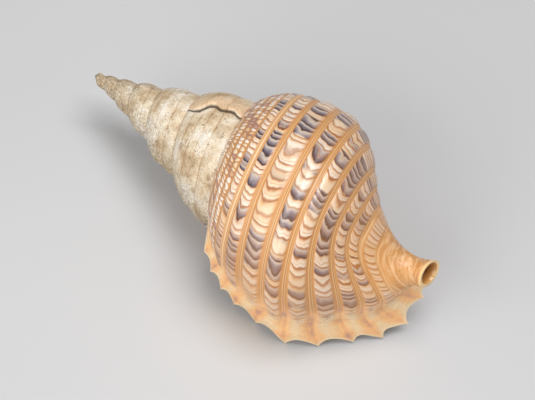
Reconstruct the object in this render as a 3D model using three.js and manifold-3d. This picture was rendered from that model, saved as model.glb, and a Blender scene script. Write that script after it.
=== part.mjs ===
// Triton shell, a large sea snail's shell lying with its opening down.
// One natural piece: a tall spire, a big ribbed last whorl, a spread scalloped lip and a short upturned
// canal that ends in an open ring.
// Millimetres. +X runs from the tip of the spire to the canal, the lip is on the -Y side and +Z is up.
import * as THREE from 'three';
import Module from 'manifold-3d';

// Overall coil: the seam between whorls is a spiral on a cone, n turns back from the lip
const LENGTH = 360;
const SEAM_HEIGHT = 199;
const TIP_OFFSET = 16.6;
const HEIGHT_RATIO = 1.421;
const SEAM_RADIUS = 65.75;
const RADIUS_RATIO = 1.595;
const TIP_TURN = 6.4;
const LIP_ANGLE = -37.4;

// Resting pose: nose-up pitch and roll in degrees, then the frame's origin under the middle of the shell
const PITCH = 2.5;
const ROLL = 0;
const ORIGIN = [180.25, -10.35, -63.5];

// Roundness of the whorls, on the last whorl and on the spire
const SWELL_BODY = 0.187;
const SWELL_SPIRE = 0.112;
const SHOULDER_POWER = 0.676;

// The blunt tip: extra radius at the very end, fading along this length
const TIP_SWELL = 2.3;
const TIP_SWELL_LENGTH = 11;

// Radius below the whorl's widest line: at the lip, one turn before it, and how fast it falls between them
const BASE_STEPS = [0, 0.25, 0.5, 0.7, 0.85, 1];
const BASE_AT_LIP = [95.7, 74.6, 51.6, 19.2, 12.6];
const BASE_ONE_TURN_BACK = [50, 24, 10, 7, 12.2];
const BASE_FALL = [1.17, 3.11, 5.15, 3.87, 3.14];

// The canal bends up and a little towards the lip
const CANAL_START = 290;
const CANAL_RISE = 7.6;
const CANAL_SIDE = 2.2;

// Its open end is cut aslant: shorter above and on the lip's side, by this slope from this height on
const CUT_SLOPE = 0.25;
const CUT_FROM = 334;
const CUT_UP = 0.89;
const CUT_NEAR = 0.45;
const CANAL_END = 12.2;

// Lip: its edge lies on the table, so it runs back at the seam and forward under the canal
const LIP_BACK = 0.098;
const LIP_FORWARD = -0.175;
const LIP_FORWARD_FROM = 0.412;
const LIP_BLEND = 0.35;
const LIP_REACH = -0.006;
const FLARE = 11;
const FLARE_TURN = 0.052;
const FLARE_POWER = 1.6;
const GUTTER = { depth: 4.5, at: 0.055, width: 0.028 };
const FLARE_ALONG = [[0, 0], [0.06, 0.7], [0.2, 1], [0.8, 0.9], [0.93, 0.5], [1, 0]];
const SCALLOP = 0.0135;
const SCALLOP_TURN = 0.05;
const POINT_HEIGHT = 1.6;
const RIB_FADE = 0.055;

// Ribs: the grooves between them as places on the whorl (0 seam, 1 widest line, 2 canal end)
const GROOVES_LIP = [0, 0.10, 0.20, 0.32, 0.46, 0.712, 1.045, 1.258, 1.472, 1.65, 1.742, 1.82, 1.91, 2];
const GROOVES_ROOT = [0, 0.16, 0.30, 0.46, 0.70, 1.00, 1.175, 1.35, 1.495, 1.62, 1.73, 1.80, 1.90, 2];
const GROOVES_CREST = [0, 0.18, 0.34, 0.50, 0.69, 1.00, 1.152, 1.264, 1.36, 1.43, 1.50, 1.62, 1.80, 2];
const ROOT_TURN = 0.10;
const CREST_TURN = 0.28;
const RIB_HEIGHT = [0.5, 0.6, 1.0, 1.3, 2.0, 1.9, 1.7, 1.5, 1.3, 1.0, 0.8, 0.5, 0];
const SPIRE_RIB = 0.45;
const WIDEST_GROOVE = 5;
const COLUMNS_PER_RIB = 3;

// Old lips left as ridges across the spire: turn, height, length behind the step
const RIDGES = [[1.380, 3.4, 0.10], [2.06, 1.6, 0.09], [2.72, 1.3, 0.09], [3.39, 0.9, 0.08]];
const RIDGE_STEP = 0.008;

// Wall and hollow
const WALL = 4.8;
const LIP_WALL = 2.3;
const LIP_RIM = 3.6;
const SPIRE_WALL = 1.9;
const SPIRE_CALLUS = 0.3;
const CALLUS = 2.2;
const MIN_GAP = 1.8;
const BODY_HOLLOW = {
  from: -0.07, to: 1.16, steps: 40, side: 12, extra: 0,
  ends: [[-0.07, 1.88], [0.02, 1.87], [0.16, 1.78], [0.5, 1.6], [1.16, 1.42]],
};
const SPIRE_HOLLOW = {
  from: 1.10, to: 4.1, steps: 42, side: 4, extra: 0.12,
  ends: [[1.10, 1.40], [4.1, 1.3]],
};

const ROWS_PER_TURN = 41;
const BRIM_ROW = 0.012;
const COARSE_FROM = 1.25;
const COARSEST_FROM = 3;

const TAU = 2 * Math.PI;
const lerp = (a, b, t) => a + (b - a) * t;
const clamp = (x, lo, hi) => Math.min(Math.max(x, lo), hi);
const smooth = (x) => { const t = clamp(x, 0, 1); return t * t * (3 - 2 * t); };

function table(points, x) {
  if (x <= points[0][0]) return points[0][1];
  for (let i = 1; i < points.length; i++) {
    const [x0, y0] = points[i - 1];
    const [x1, y1] = points[i];
    if (x <= x1) return lerp(y0, y1, (x - x0) / (x1 - x0));
  }
  return points[points.length - 1][1];
}

const seamH = (n) => SEAM_HEIGHT * HEIGHT_RATIO ** -n - TIP_OFFSET;
const seamR = (n) => SEAM_RADIUS * RADIUS_RATIO ** -n;
const swell = (n) => lerp(SWELL_BODY, SWELL_SPIRE, smooth(n / 1.5));
const baseEnd = (n) => (LENGTH + TIP_OFFSET) * HEIGHT_RATIO ** -Math.max(n - 1, 0) - TIP_OFFSET;

// Radii at BASE_STEPS, n turns back from the lip
function baseRadii(n) {
  const shrink = RADIUS_RATIO ** -Math.max(n - 1, 0);
  const rest = BASE_AT_LIP.map((a, i) => {
    const b = BASE_ONE_TURN_BACK[i];
    return (b + (a - b) * clamp(1 - n, 0, 1.3) ** BASE_FALL[i]) * shrink;
  });
  return [seamR(n - 1), ...rest];
}

// Radius at a fraction q of the way from the widest line to the canal's end: a cubic through the table
function baseRadius(n, q) {
  const y = baseRadii(n);
  const x = BASE_STEPS;
  const last = x.length - 1;
  const d = y.slice(1).map((v, i) => (v - y[i]) / (x[i + 1] - x[i]));
  const rise = seamH(n - 1) - seamH(n);
  const first = (seamR(n - 1) - seamR(n) - swell(n) * rise * Math.PI * SHOULDER_POWER) / rise
    * (baseEnd(n) - seamH(n - 1));
  const slope = (i) => (i === 0 ? first : i === last ? d[last - 1] : (d[i - 1] + d[i]) / 2);
  let i = 0;
  while (i < last - 1 && q > x[i + 1]) i++;
  const w = x[i + 1] - x[i];
  const s = (q - x[i]) / w;
  const s2 = s * s;
  const s3 = s2 * s;
  return (2 * s3 - 3 * s2 + 1) * y[i] + (s3 - 2 * s2 + s) * w * slope(i)
    + (3 * s2 - 2 * s3) * y[i + 1] + (s3 - s2) * w * slope(i + 1);
}

// Plain whorl outline as [height along the axis, radius]; v is 0 at the seam, 1 at the widest line and
// 2 at the canal
function outline(n, v) {
  if (v <= 1) {
    const rise = seamH(n - 1) - seamH(n);
    const round = Math.sin(Math.PI * Math.max(v, 0) ** SHOULDER_POWER);
    const h = seamH(n) + v * rise;
    const blunt = TIP_SWELL * Math.exp(-((h / TIP_SWELL_LENGTH) ** 2));
    return [h, lerp(seamR(n), seamR(n - 1), v) + swell(n) * rise * round + blunt];
  }
  const top = seamH(n - 1);
  return [lerp(top, baseEnd(n), v - 1), baseRadius(n, v - 1)];
}

function outlineNormal(n, v) {
  const e = 0.004;
  const a = outline(n, clamp(v - e, 0, 2));
  const b = outline(n, clamp(v + e, 0, 2));
  const dh = b[0] - a[0];
  const dr = b[1] - a[1];
  const len = Math.hypot(dh, dr);
  return [-dr / len, dh / len];
}

// Share of the lip's length at v, measured along the plain outline at the lip
const lipSamples = Array.from({ length: 201 }, (_, i) => outline(0, i / 100));
const lipLengths = [0];
for (let i = 1; i < lipSamples.length; i++) {
  const step = Math.hypot(lipSamples[i][0] - lipSamples[i - 1][0], lipSamples[i][1] - lipSamples[i - 1][1]);
  lipLengths.push(lipLengths[i - 1] + step);
}
function lipShare(v) {
  const f = clamp(v, 0, 2) * 100;
  const i = Math.min(Math.floor(f), 199);
  return lerp(lipLengths[i], lipLengths[i + 1], f - i) / lipLengths[200];
}

// How far the edge of the lip is turned back (+) or forward (-), in turns
function lipShift(v) {
  const x = lipShare(v);
  const forward = clamp((x - LIP_FORWARD_FROM) / (1 - LIP_FORWARD_FROM), 0, 1) ** 1.5;
  return LIP_BACK * clamp(1 - x / 0.3, 0, 1) ** 2 + LIP_FORWARD * forward
    + LIP_REACH * smooth(x / 0.2) * smooth((1 - x) / 0.15);
}
const innerShift = (v) => (v <= 1 ? LIP_BACK * v * v : lerp(LIP_BACK, LIP_FORWARD, smooth(v - 1)));

// Turn reached by row m at v: rows near the lip follow its edge, rows one turn back follow the same line
function turnAt(m, v) {
  if (m >= 1) return m + innerShift(v) * clamp(1 - (m - 1) / LIP_BLEND, 0, 1);
  return m + lipShift(v) * clamp(1 - m / LIP_BLEND, 0, 1.2)
    + innerShift(v) * clamp((m - 1 + LIP_BLEND) / LIP_BLEND, 0, 1);
}

// Groove k's place on the whorl at row m
function groove(k, m) {
  if (m >= CREST_TURN) return GROOVES_CREST[k];
  if (m >= ROOT_TURN) {
    return lerp(GROOVES_ROOT[k], GROOVES_CREST[k], smooth((m - ROOT_TURN) / (CREST_TURN - ROOT_TURN)));
  }
  return lerp(GROOVES_LIP[k], GROOVES_ROOT[k], smooth(Math.max(m, 0) / ROOT_TURN));
}
function columnPlace(j, m) {
  const k = Math.min(Math.floor(j / COLUMNS_PER_RIB), RIB_HEIGHT.length - 1);
  const s = j / COLUMNS_PER_RIB - k;
  return { v: lerp(groove(k, m), groove(k + 1, m), s), k, s };
}

// Share of the scalloping along the lip: none at the seam or where the lip runs into the canal
const scalloped = (v) => smooth(lipShare(v) * 8) * smooth((1 - lipShare(v)) * 11);

// Height of the turned-out brim at row m, with the gutter at its root
function flareAt(m, v) {
  const brim = FLARE * clamp(1 - m / FLARE_TURN, 0, 1.6) ** FLARE_POWER;
  const gutter = GUTTER.depth * Math.exp(-(((m - GUTTER.at) / GUTTER.width) ** 2));
  return (brim - gutter) * table(FLARE_ALONG, lipShare(v));
}

// Share by which the canal's end is drawn back at this height, for each millimetre above the axis
const slant = (h) => CUT_SLOPE * (Math.max(h - CUT_FROM, 0) / (LENGTH - CUT_FROM)) ** 2;

// Point of the resting shell: coiled about a level axis, then tipped to lie on its lip and belly
const tip = [Math.cos(PITCH * TAU / 360), Math.sin(PITCH * TAU / 360)];
const lean = [Math.cos(ROLL * TAU / 360), Math.sin(ROLL * TAU / 360)];
function place(n, h, r) {
  const a = (LIP_ANGLE / 360 + n) * TAU;
  const f = Math.max((h - CANAL_START) / (LENGTH - CANAL_START), 0) ** 2;
  const y = -r * Math.cos(a) - f * CANAL_SIDE;
  const z = r * Math.sin(a) + f * CANAL_RISE;
  const aside = CUT_UP * r * Math.sin(a) + CUT_NEAR * r * Math.cos(a) + CANAL_END;
  const x1 = h * tip[0] - z * tip[1] - slant(h) * aside;
  const z1 = h * tip[1] + z * tip[0];
  return [x1 - ORIGIN[0], y * lean[0] - z1 * lean[1] - ORIGIN[1], y * lean[1] + z1 * lean[0] - ORIGIN[2]];
}

// A point of the outer face, with ribs, flare, scalloped edge and old ridges
function outerPoint(m, j) {
  const { v, k, s } = columnPlace(j, m);
  const arch = Math.sin(Math.PI * s) ** 0.6;
  let n = turnAt(m, v);
  let back = 0;
  if (v > 0 && v < 2) {
    back = SCALLOP * Math.sin(Math.PI * s) ** 0.8 * scalloped(v) * clamp(1 - m / SCALLOP_TURN, 0, 1);
    n += back;
  }
  const [h, r] = outline(n, v);
  const [nh, nr] = outlineNormal(n, v);
  const onSpire = m >= 1 && v <= 1;
  const upper = v < 1 ? 1 : 0;
  const whole = smooth((m - 0.6) / 0.4) * upper;
  const worn = onSpire ? SPIRE_RIB / (1 + 0.5 * (m - 1)) : lerp(1, SPIRE_RIB, whole);
  const fade = smooth((m + 0.012) / RIB_FADE);
  const point = POINT_HEIGHT * (1 - arch) * clamp(1 - m / SCALLOP_TURN, 0, 1.5) ** 2 * scalloped(v);
  let out = RIB_HEIGHT[k] * worn * fade * arch + flareAt(m + back, v) + point;
  if (m > 1 && v < 1) {
    for (const [turn, height, tail] of RIDGES) {
      const past = m - turn;
      if (past >= 0) out += height * clamp(past / RIDGE_STEP, 0, 1) * Math.exp(-((past / tail) ** 2) * 2)
        * Math.sin(Math.PI * v) ** 0.4;
    }
  }
  return place(n, h + nh * out, r + nr * out);
}

function manifoldOf(points, faces) {
  return new wasm.Manifold(new wasm.Mesh({
    numProp: 3,
    vertProperties: new Float32Array(points.flat()),
    triVerts: new Uint32Array(faces.flat()),
  }));
}

// The whole outside as one closed skin
function outerSkin() {
  const turn = Array.from({ length: ROWS_PER_TURN }, (_, i) => i / ROWS_PER_TURN)
    .concat([BRIM_ROW, RIDGES[0][0] - 1, RIDGES[0][0] - 1 + RIDGE_STEP]).sort((a, b) => a - b);
  const per = turn.length;
  const rows = [];
  for (let i = 0; i === 0 || rows[i - 1] < TIP_TURN - 1e-9; i++) {
    rows.push(Math.floor(i / per) + turn[i % per]);
  }
  const seamColumn = WIDEST_GROOVE * COLUMNS_PER_RIB;
  const lastColumn = RIB_HEIGHT.length * COLUMNS_PER_RIB;
  const keepCoarse = [0, 2, 4, 6, 9, 12, seamColumn];
  const keepCoarsest = [0, 4, 9, seamColumn];
  const points = [];
  const index = new Map();

  const id = (i, j) => {
    if (i >= per && j === seamColumn) return id(i - per, 0);
    let col = j;
    if (rows[i] > COARSE_FROM) {
      const keep = rows[i] > COARSEST_FROM ? keepCoarsest : keepCoarse;
      col = keep.filter((c) => c <= j).pop();
    }
    const key = `${i}:${col}`;
    if (!index.has(key)) {
      index.set(key, points.length);
      points.push(outerPoint(rows[i], col));
    }
    return index.get(key);
  };

  const faces = [];
  const face = (a, b, c) => { if (a !== b && b !== c && c !== a) faces.push([a, b, c]); };
  const quad = (a, b, c, d) => { face(a, b, c); face(a, c, d); };
  for (let i = 0; i < rows.length - 1; i++) {
    const columns = i < per ? lastColumn : seamColumn;
    for (let j = 0; j < columns; j++) quad(id(i, j), id(i, j + 1), id(i + 1, j + 1), id(i + 1, j));
  }

  // Flat lid over the opening, cut through later by the hollow
  const edge = Array.from({ length: lastColumn + 1 }, (_, j) => id(0, j));
  const inner = Array.from({ length: lastColumn - seamColumn + 1 }, (_, j) => id(per, seamColumn + j));
  let a = 0;
  let b = 0;
  while (a < edge.length - 1 || b < inner.length - 1) {
    const moveEdge = b === inner.length - 1 || (a < edge.length - 1 && a / edge.length <= b / inner.length);
    if (moveEdge) {
      face(edge[a], inner[b], edge[a + 1]);
      a++;
    } else {
      face(edge[a], inner[b], inner[b + 1]);
      b++;
    }
  }

  // Canal end and tip, each closed onto one middle point
  const canal = points.length;
  points.push(place(0, LENGTH, 0));
  for (let i = 0; i < per; i++) face(id(i, lastColumn), canal, id(i + 1, lastColumn));
  face(id(per, lastColumn), canal, id(0, lastColumn));
  const tipPoint = points.length;
  points.push(place(0, 0.6, 0));
  const end = rows.length - 1;
  for (let i = end - per; i < end; i++) face(id(i, 0), id(i + 1, 0), tipPoint);
  for (let j = 0; j < seamColumn; j++) face(id(end, j), id(end, j + 1), tipPoint);
  return manifoldOf(points, faces);
}

// A hollow of the coil as a closed curved tube between two turns, side points on each side of its section
function hollow({ from, to, steps, side, ends, extra }) {
  const points = [];
  const ring = 2 * side + 2;
  for (let i = 0; i <= steps; i++) {
    const m = lerp(from, to, i / steps);
    const rim = LIP_RIM * Math.exp(-(((m - 0.09) / 0.045) ** 2));
    const deep = smooth(m - 0.5);
    const wall = lerp(lerp(LIP_WALL, WALL, smooth(m / 0.08)), SPIRE_WALL, deep) + rim + extra;
    const callus = lerp(lerp(0.35, CALLUS, smooth(m / 0.10)), SPIRE_CALLUS, deep) + extra;
    const start = lerp(0.10, 0.035, smooth(m / 0.2));
    const end = table(ends, m);
    const outside = [];
    const inside = [];
    for (let k = 0; k <= side; k++) {
      const v = lerp(start, end, (k / side) ** 0.85);
      const n = m < 1 ? m + lipShift(v) * clamp(1 - m / LIP_BLEND, 0, 1.2) : m;
      const [h, r] = outline(n, v);
      const [nh, nr] = outlineNormal(n, v);
      const out = flareAt(m, v) - wall;
      const ho = h + nh * out;
      const ro = r + nr * out;
      const q = clamp((ho - seamH(n)) / (baseEnd(n + 1) - seamH(n)), 0, 1);
      const ri = Math.min(baseRadius(n + 1, q) + callus, ro - MIN_GAP);
      outside.push(place(n, ho, ro));
      inside.push(place(n, ho, Math.max(ri, 0.5)));
    }
    points.push(...outside, ...inside.reverse());
  }
  const faces = [];
  for (let i = 0; i < steps; i++) {
    for (let k = 0; k < ring; k++) {
      const a = i * ring + k;
      const b = i * ring + (k + 1) % ring;
      faces.push([a, b + ring, a + ring], [a, b, b + ring]);
    }
  }
  const lastRing = steps * ring;
  for (let a = 0; a < side; a++) {
    const b = a + 1;
    const c = ring - 1 - a;
    const d = ring - 2 - a;
    faces.push([a, d, b], [a, c, d]);
    faces.push([lastRing + a, lastRing + b, lastRing + d], [lastRing + a, lastRing + d, lastRing + c]);
  }
  return manifoldOf(points, faces);
}

// The bore of the canal: a bent round tube from the opening out through the canal's end
const CANAL_PATH = [
  { h: 300, off: 17, r: 5.5 }, { h: 314, off: 12, r: 5.3 }, { h: 326, off: 7.5, r: 5.0 },
  { h: 338, off: 4, r: 5.2 }, { h: 348, off: 1.8, r: 6.2 }, { h: 356, off: 0.6, r: 8.4 },
  { h: 361, off: 0.2, r: 10.2 }, { h: 368, off: 0, r: 11.2 },
];
const CANAL_SIDES = 14;
const CANAL_TURN = -0.09;
const BORE_TILT = 0.18;
function canalBore() {
  const points = [];
  for (const { h, off, r } of CANAL_PATH) {
    const centre = place(CANAL_TURN, h, off);
    for (let k = 0; k < CANAL_SIDES; k++) {
      const t = (k / CANAL_SIDES) * TAU;
      const [y, z] = [r * Math.cos(t), r * Math.sin(t)];
      const back = BORE_TILT * z + slant(h) * (CUT_UP * z - CUT_NEAR * y);
      points.push([centre[0] - back, centre[1] + y, centre[2] + z]);
    }
  }
  const faces = [];
  for (let i = 0; i < CANAL_PATH.length - 1; i++) {
    for (let k = 0; k < CANAL_SIDES; k++) {
      const a = i * CANAL_SIDES + k;
      const b = i * CANAL_SIDES + (k + 1) % CANAL_SIDES;
      faces.push([a, b + CANAL_SIDES, a + CANAL_SIDES], [a, b, b + CANAL_SIDES]);
    }
  }
  const last = (CANAL_PATH.length - 1) * CANAL_SIDES;
  for (let k = 1; k < CANAL_SIDES - 1; k++) {
    faces.push([0, k + 1, k], [last, last + k, last + k + 1]);
  }
  return manifoldOf(points, faces);
}

const wasm = await Module();
wasm.setup();
const outer = outerSkin();
const bore = canalBore();
let solid = outer.subtract(hollow(BODY_HOLLOW)).subtract(hollow(SPIRE_HOLLOW)).subtract(bore);
const pieces = solid.decompose();
solid = pieces.reduce((best, piece) => (piece.volume() > best.volume() ? piece : best));

const mesh = solid.getMesh();
const geometry = new THREE.BufferGeometry();
geometry.setAttribute('position', new THREE.BufferAttribute(new Float32Array(mesh.vertProperties), 3));
geometry.setIndex(new THREE.BufferAttribute(new Uint32Array(mesh.triVerts), 1));
geometry.computeVertexNormals();

const shell = new THREE.Mesh(geometry, new THREE.MeshStandardMaterial({
  color: 0xd2a070, roughness: 0.38, metalness: 0,
}));
shell.name = 'triton_shell';

const group = new THREE.Group();
group.add(shell);
export default group;
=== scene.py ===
from functools import partial

import bpy
import numpy as np
from mathutils import Matrix, Vector


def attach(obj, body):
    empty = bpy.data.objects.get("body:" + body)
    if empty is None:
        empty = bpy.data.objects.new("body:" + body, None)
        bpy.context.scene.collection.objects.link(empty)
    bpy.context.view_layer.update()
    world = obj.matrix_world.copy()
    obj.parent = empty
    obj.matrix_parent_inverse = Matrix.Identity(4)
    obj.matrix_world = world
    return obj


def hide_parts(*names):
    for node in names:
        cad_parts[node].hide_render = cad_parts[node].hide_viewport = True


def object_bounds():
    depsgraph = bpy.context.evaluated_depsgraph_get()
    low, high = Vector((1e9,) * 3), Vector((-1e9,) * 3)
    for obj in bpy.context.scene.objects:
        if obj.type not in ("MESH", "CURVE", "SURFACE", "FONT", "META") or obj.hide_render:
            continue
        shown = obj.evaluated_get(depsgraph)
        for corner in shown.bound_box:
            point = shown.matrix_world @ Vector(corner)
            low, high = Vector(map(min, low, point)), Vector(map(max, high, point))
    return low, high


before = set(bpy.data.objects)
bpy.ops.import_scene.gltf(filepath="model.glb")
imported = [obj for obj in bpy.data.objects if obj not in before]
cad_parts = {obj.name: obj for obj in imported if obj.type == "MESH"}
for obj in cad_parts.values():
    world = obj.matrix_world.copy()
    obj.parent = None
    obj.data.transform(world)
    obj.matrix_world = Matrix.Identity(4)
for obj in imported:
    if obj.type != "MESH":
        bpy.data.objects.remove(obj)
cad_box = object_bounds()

# Triton shell, lying with its opening down: tip of the spire at -X, canal at +X, lip on the -Y side, +Z up.
# Lengths below are millimetres, as in the part; meshes are turned to metres when they are made.
MM = 0.001

# Camera of the photograph
CAMERA_AZIMUTH = 31.593
CAMERA_ELEVATION = 59.491
CAMERA_ROLL = 4.348
CAMERA_TARGET = (0.01163, 0.01035, 0.03735)
CAMERA_DISTANCE = 1.5
CAMERA_LENS = 114.57
CAMERA_SENSOR = 36.0

# Overall coil: the seam between whorls is a spiral on a cone, n turns back from the lip
LENGTH = 360.0
SEAM_HEIGHT = 199.0
TIP_OFFSET = 16.6
HEIGHT_RATIO = 1.421
SEAM_RADIUS = 65.75
RADIUS_RATIO = 1.595
TIP_TURN = 6.4
LIP_ANGLE = -37.4

# Resting pose: nose-up pitch in degrees, then the frame's origin under the middle of the shell
PITCH = 2.5
ORIGIN = (180.25, -10.35, -63.5)

# Roundness of the whorls, on the last whorl and on the spire
SWELL_BODY = 0.187
SWELL_SPIRE = 0.112
SHOULDER_POWER = 0.676

# The blunt tip: extra radius at the very end, fading along this length, and the height of its middle point
TIP_SWELL = 2.3
TIP_SWELL_LENGTH = 11.0
TIP_MIDDLE = 0.6

# Radius below the whorl's widest line: at the lip, one turn before it, and how fast it falls between them
BASE_STEPS = np.array([0, 0.25, 0.5, 0.7, 0.85, 1.0])
BASE_AT_LIP = (95.7, 74.6, 51.6, 19.2, 12.6)
BASE_ONE_TURN_BACK = (50, 24, 10, 7, 12.2)
BASE_FALL = (1.17, 3.11, 5.15, 3.87, 3.14)

# The canal bends up and a little towards the lip
CANAL_START = 290.0
CANAL_RISE = 7.6
CANAL_SIDE = 2.2

# Its open end is cut aslant: shorter above and on the lip's side, by this slope from this height on
CUT_SLOPE = 0.25
CUT_FROM = 334.0
CUT_UP = 0.89
CUT_NEAR = 0.45
CANAL_END = 12.2

# Lip: its edge lies on the table, so it runs back at the seam and forward under the canal
LIP_BACK = 0.098
LIP_FORWARD = -0.175
LIP_FORWARD_FROM = 0.412
LIP_BLEND = 0.35
LIP_REACH = -0.006
FLARE = 11.0
FLARE_TURN = 0.052
FLARE_POWER = 1.6
GUTTER_DEPTH, GUTTER_AT, GUTTER_WIDTH = 4.5, 0.055, 0.028
FLARE_ALONG = ((0, 0.06, 0.2, 0.8, 0.93, 1), (0, 0.7, 1, 0.9, 0.5, 0))
SCALLOP = 0.0135
SCALLOP_TURN = 0.05
POINT_HEIGHT = 1.6
RIB_FADE = 0.055

# Ribs: the grooves between them as places on the whorl (0 seam, 1 widest line, 2 canal end)
GROOVES_LIP = (0, 0.10, 0.20, 0.32, 0.46, 0.712, 1.045, 1.258, 1.472, 1.65, 1.742, 1.82, 1.91, 2)
GROOVES_ROOT = (0, 0.16, 0.30, 0.46, 0.70, 1.00, 1.175, 1.35, 1.495, 1.62, 1.73, 1.80, 1.90, 2)
GROOVES_CREST = (0, 0.18, 0.34, 0.50, 0.69, 1.00, 1.152, 1.264, 1.36, 1.43, 1.50, 1.62, 1.80, 2)
ROOT_TURN = 0.10
CREST_TURN = 0.28
RIB_HEIGHT = np.array([0.5, 0.6, 1.0, 1.3, 2.0, 1.9, 1.7, 1.5, 1.3, 1.0, 0.8, 0.5, 0])
BANDS = len(RIB_HEIGHT)
SPIRE_RIB = 0.45
WIDEST_GROOVE = 5

# Across one rib: the columns of the grid, closer together at its grooves, where fine threads run
ACROSS_RIB = (0, 0.03, 0.06, 0.10, 0.15, 0.22, 0.31, 0.41, 0.5, 0.59, 0.69, 0.78, 0.85, 0.90, 0.94, 0.97)
THREAD_HEIGHT, THREAD_AT, THREAD_WIDTH = 0.28, 0.032, 0.024

# A rib is an arch between two feet, raised to a power that flattens its top
RIB_FOOT = 0.10
ARCH_POWER = 0.62

# The first two bands are fine cords; the third is a rib up to this share, then a plain cord of this width
CORDS_PER_BAND = 2
CORD_HEIGHT = 0.9
THIRD_RIB_TO = 0.64
PLAIN_CORD_FROM, PLAIN_CORD_WIDTH = 0.66, 0.32

# Low lines round the canal, beyond this band
LAST_RIB = 10
CANAL_LINES, CANAL_LINE_HEIGHT = 4, 0.35

# Steps of new growth just behind the lip
GROWTH_HEIGHT, GROWTH_PER_TURN, GROWTH_SHIFT = 0.35, 60, 2.1
GROWTH_TO, GROWTH_BLEND = 0.16, 0.05

# Old lips left as ridges across the spire: turn, height, length behind the step
RIDGES = ((1.380, 3.4, 0.10), (2.06, 1.6, 0.09), (2.72, 1.3, 0.09), (3.39, 0.9, 0.08))
RIDGE_STEP = 0.004

# The newest of them has a crack before it, and an edge that bends and waves: size, waves per whorl, shift
OLD_LIP = RIDGES[0][0]
OLD_LIP_BEND, OLD_LIP_REACH = 0.038, 0.12
OLD_LIP_WAVES = ((0.0035, 2.7, 0.6), (0.0009, 6.3, 0.0))
OLD_LIP_ROWS = (-0.012, -0.009, -0.0065, -0.0045, -0.0025, -0.0005, 0.0005, 0.002, 0.0042, 0.0065)
CRACK_DEPTH, CRACK_WIDTH, CRACK_BEFORE = 1.4, 0.003, 0.004

# Low lumps round the worn spire
LUMPS_PER_TURN = 12
LUMP_HEIGHT = 0.55

# Wall and hollow: the wall is thin at the lip, thicker just inside it and thin again on the spire
WALL, LIP_WALL, SPIRE_WALL = 4.8, 2.3, 1.9
LIP_RIM, LIP_RIM_AT, LIP_RIM_WIDTH = 3.6, 0.09, 0.045
CALLUS, LIP_CALLUS, SPIRE_CALLUS = 2.2, 0.35, 0.3
MIN_GAP = 1.8
HOLLOW_FROM, HOLLOW_TO = -0.07, 1.16
HOLLOW_SEAM_LIP, HOLLOW_SEAM = 0.10, 0.035
HOLLOW_ENDS = ((-0.07, 0.02, 0.16, 0.5, 1.16), (1.88, 1.87, 1.78, 1.6, 1.42))
HOLLOW_ROWS_LIP, HOLLOW_ROWS, HOLLOW_SIDE = 44, 56, 100

# Teeth in pairs just inside the lip, one pair at each groove between the first and last of these bands
TOOTH_HEIGHT = 1.5
TOOTH_APART, TOOTH_WIDTH = 0.17, 0.075
TOOTH_TURN, TOOTH_LENGTH = 0.026, 0.022
FIRST_TOOTH, LAST_TOOTH, TOOTH_BLEND = 2.5, 10.6, 0.4

# The bore of the canal: height, distance from the axis and radius along it
CANAL_PATH = np.array([
    (300, 17, 5.5), (314, 12, 5.3), (326, 7.5, 5.0), (338, 4, 5.2), (348, 1.8, 6.2), (356, 0.6, 8.4),
    (361, 0.2, 10.2), (368, 0, 11.2),
])
CANAL_ROWS, CANAL_SIDES = 40, 40
CANAL_TURN = -0.09
BORE_TILT = 0.18

# Edges sharper than this many degrees stay crisp: the lip's rim and the canal's ring
SHARP_ANGLE = 70

# The grid's rows in one turn; more of them follow the lip and the old lip's crack
ROWS_PER_TURN = 170
LIP_ROWS, LIP_ROWS_TO = 14, 0.11
ROW_GAP = 0.0011
COARSE_FROM = 1.30
COARSEST_FROM = 2.9

# The two halves of a quad, on the outer skin and on the tubes cut out of it
SKIN_HALVES = ([0, 1, 2], [0, 2, 3])
TUBE_HALVES = ([0, 2, 3], [0, 1, 2])

# Bake map: each area's corner and size on the one flat sheet
SHEET_BODY = (0.01, 0.36, 0.575, 0.63)
SHEET_SPIRE = (0.61, 0.36, 0.38, 0.63)
SHEET_HOLLOW = (0.01, 0.01, 0.78, 0.33)
SHEET_LID = (0.81, 0.01, 0.18, 0.14)
SHEET_BORE = (0.81, 0.17, 0.18, 0.17)

# Material slots, and the numbers that mark the column's side and the canal's lining on the "Turns" map
OUTSIDE, RIM, INSIDE = 0, 1, 2
ON_COLUMN = 10
IN_CANAL = -1


def blend(a, b, t):
    """Straight blend from a to b."""
    return a + (b - a) * t


def smooth(x):
    """Smooth step of x between 0 and 1."""
    t = np.clip(x, 0, 1)
    return t * t * (3 - 2 * t)


def bell(x):
    """Bell curve, 1 at 0: the exponential of minus x squared."""
    return np.exp(-x ** 2)


def seam_height(n):
    """The seam's height falls by one ratio each turn, measured from just past the tip."""
    return SEAM_HEIGHT * HEIGHT_RATIO ** -n - TIP_OFFSET


def seam_radius(n):
    """The seam's distance from the axis falls by one ratio each turn."""
    return SEAM_RADIUS * RADIUS_RATIO ** -n


def base_end(n):
    """Height of the canal's end, and one turn or more back the height where the older base ended."""
    return (LENGTH + TIP_OFFSET) * HEIGHT_RATIO ** -np.maximum(n - 1, 0) - TIP_OFFSET


def swell(n):
    """Share by which a whorl bulges between its seams."""
    return blend(SWELL_BODY, SWELL_SPIRE, smooth(n / 1.5))


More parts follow.
